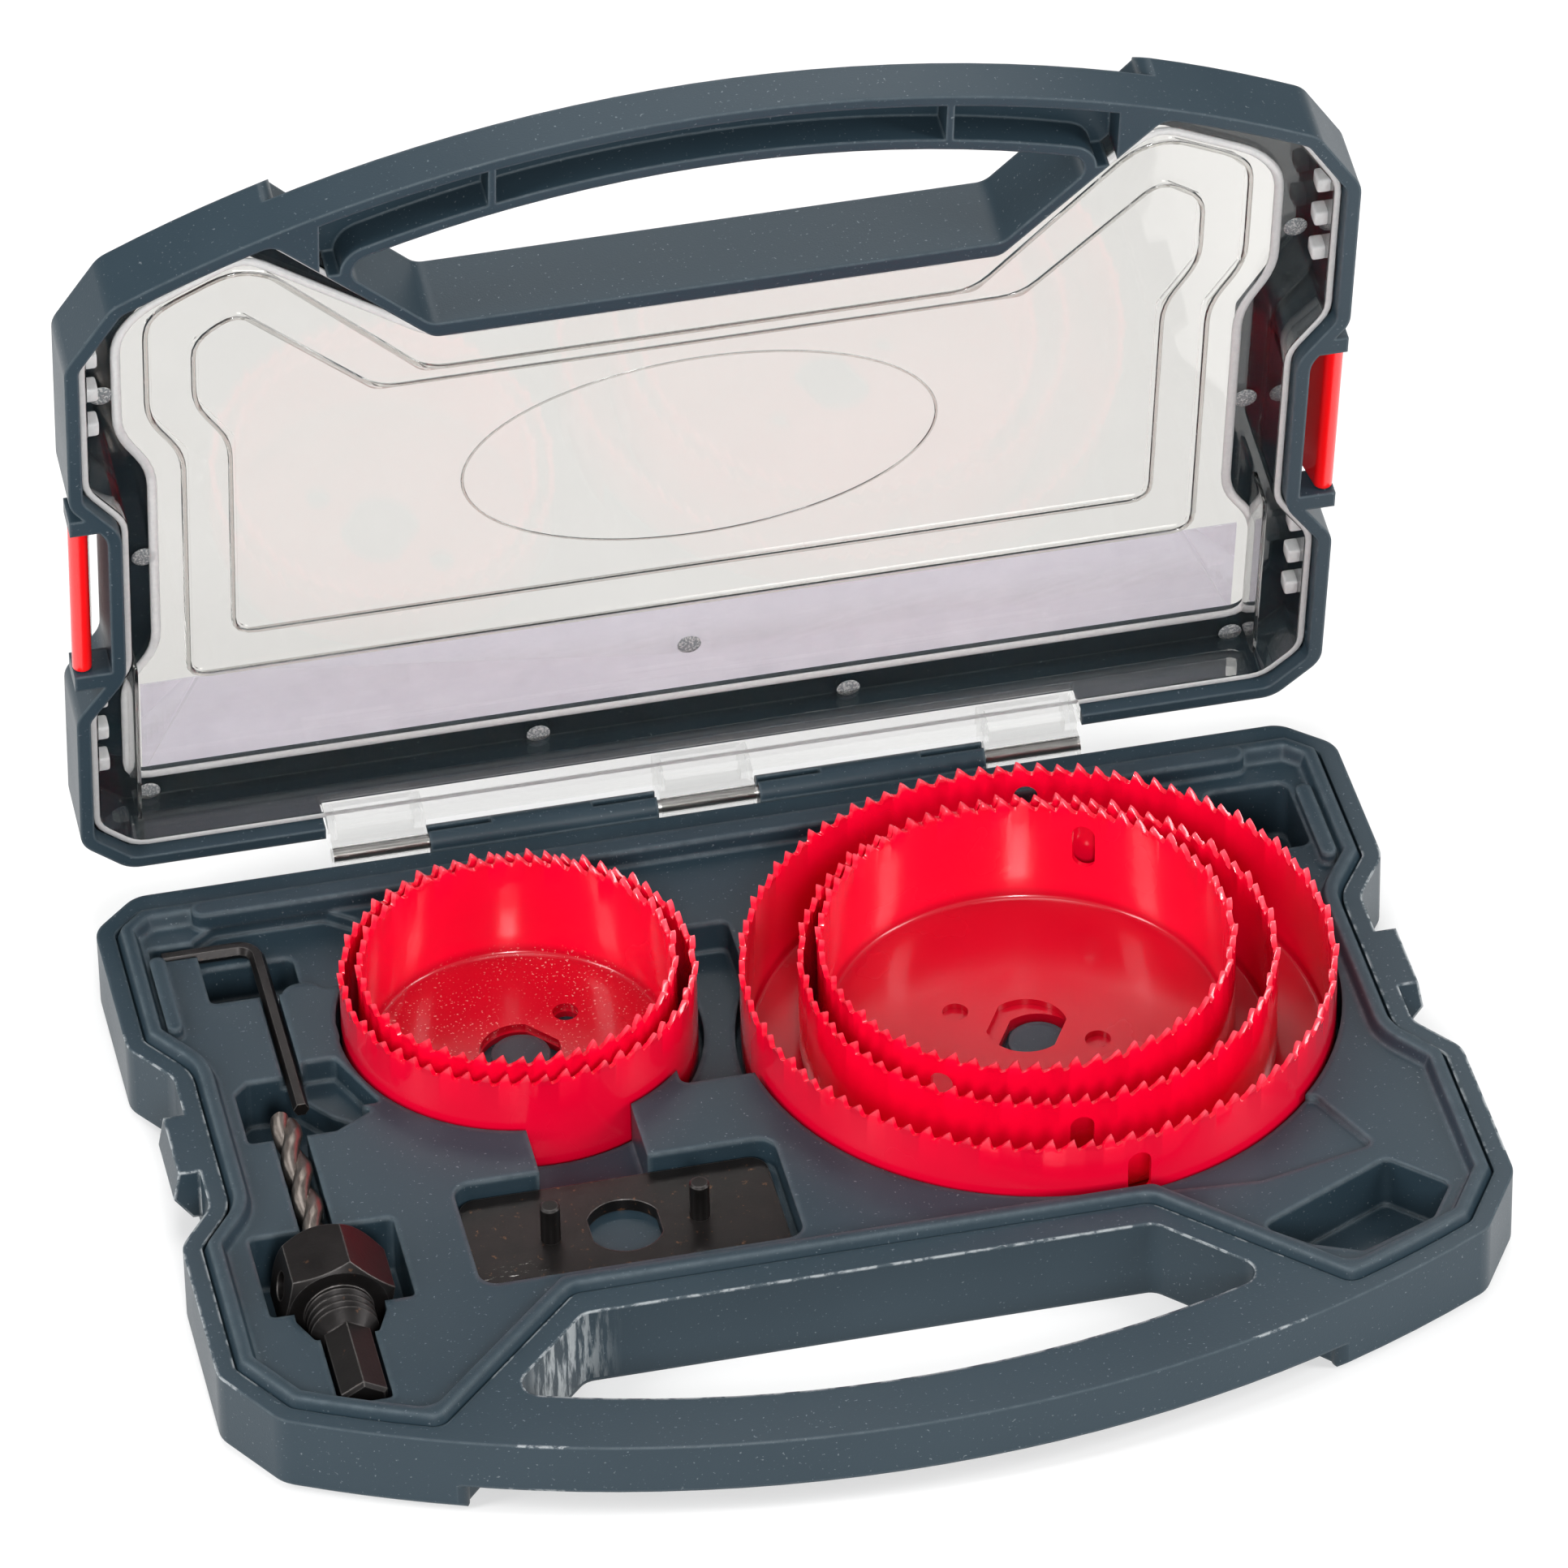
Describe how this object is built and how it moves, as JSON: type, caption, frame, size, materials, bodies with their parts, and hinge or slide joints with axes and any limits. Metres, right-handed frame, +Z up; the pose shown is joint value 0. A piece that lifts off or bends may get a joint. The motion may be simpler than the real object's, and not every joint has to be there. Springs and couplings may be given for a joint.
{
  "type": "hole saw storage case",
  "caption": "Open hole saw carry case: dark base and clear-windowed lid on a pinned hinge, side latches, grip handles, and a fitted kit of nested red hole saws, arbor, plate and key.",
  "frame": {"origin": "middle of the bottom of the base between its left and right sides, on the surface that the case stands on, 105 mm behind the front of the handle", "axes": "+X to the right side of the case, +Y from the handle towards the hinge, +Z up; the case is open, with its lid 80 degrees from closed"},
  "size_m": [0.275, 0.2274, 0.2267],
  "materials": {
    "case_plastic": "fine textured dark slate moulding",
    "clear_plastic": "clear transparent moulding",
    "label_film": "thin bare film, faintly lilac",
    "latch_plastic": "red moulding",
    "saw_paint": "glossy red coat on steel",
    "black_steel": "black oxide with rubbed edges",
    "bright_steel": "plain drawn steel"
  },
  "bodies": {
    "base": {"base_pan": "case_plastic", "tray": "case_plastic", "hinge_pin_middle": "bright_steel", "hinge_pins_outer": "bright_steel"},
    "lid": {"lid_frame": "case_plastic", "lid_window": "clear_plastic", "label_strip": "label_film"},
    "latch_left": {"latch_left": "latch_plastic"},
    "latch_right": {"latch_right": "latch_plastic"},
    "saw_127": {"hole_saw_127": "saw_paint"},
    "saw_102": {"hole_saw_102": "saw_paint"},
    "saw_89": {"hole_saw_89": "saw_paint"},
    "saw_76": {"hole_saw_76": "saw_paint"},
    "saw_68": {"hole_saw_68": "saw_paint"},
    "arbor": {"arbor_body": "black_steel", "arbor_screw": "black_steel", "pilot_drill": "bright_steel"},
    "plate": {"backing_plate": "black_steel", "drive_pins": "bright_steel"},
    "key": {"hex_key": "black_steel"}
  },
  "joints": [
    {"name": "lid_hinge", "type": "hinge", "parent": "base", "child": "lid", "pos_m": [0, 0.1047, 0.0183], "axis": [-1, 0, 0], "range_deg": [-80, 30]},
    {"name": "latch_left_swing", "type": "hinge", "parent": "lid", "child": "latch_left", "pos_m": [-0.1354, 0.09334, 0.10748], "axis": [0, 0.1736, -0.9848], "range_deg": [-190, 0]},
    {"name": "latch_right_swing", "type": "hinge", "parent": "lid", "child": "latch_right", "pos_m": [0.1354, 0.09334, 0.10748], "axis": [0, -0.1736, 0.9848], "range_deg": [-190, 0]},
    {"name": "saw_127_lift", "type": "slide", "parent": "base", "child": "saw_127", "axis": [0, 0, 1], "range_m": [0, 0.035]},
    {"name": "saw_102_lift", "type": "slide", "parent": "saw_127", "child": "saw_102", "axis": [0, 0, 1], "range_m": [0, 0.035]},
    {"name": "saw_89_lift", "type": "slide", "parent": "saw_102", "child": "saw_89", "axis": [0, 0, 1], "range_m": [0, 0.035]},
    {"name": "saw_76_lift", "type": "slide", "parent": "base", "child": "saw_76", "axis": [0, 0, 1], "range_m": [0, 0.035]},
    {"name": "saw_68_lift", "type": "slide", "parent": "saw_76", "child": "saw_68", "axis": [0, 0, 1], "range_m": [0, 0.035]},
    {"name": "arbor_lift", "type": "slide", "parent": "base", "child": "arbor", "axis": [0, 0, 1], "range_m": [0, 0.03]},
    {"name": "plate_lift", "type": "slide", "parent": "base", "child": "plate", "axis": [0, 0, 1], "range_m": [0, 0.03]},
    {"name": "key_lift", "type": "slide", "parent": "base", "child": "key", "axis": [0, 0, 1], "range_m": [0, 0.03]}
  ]
}
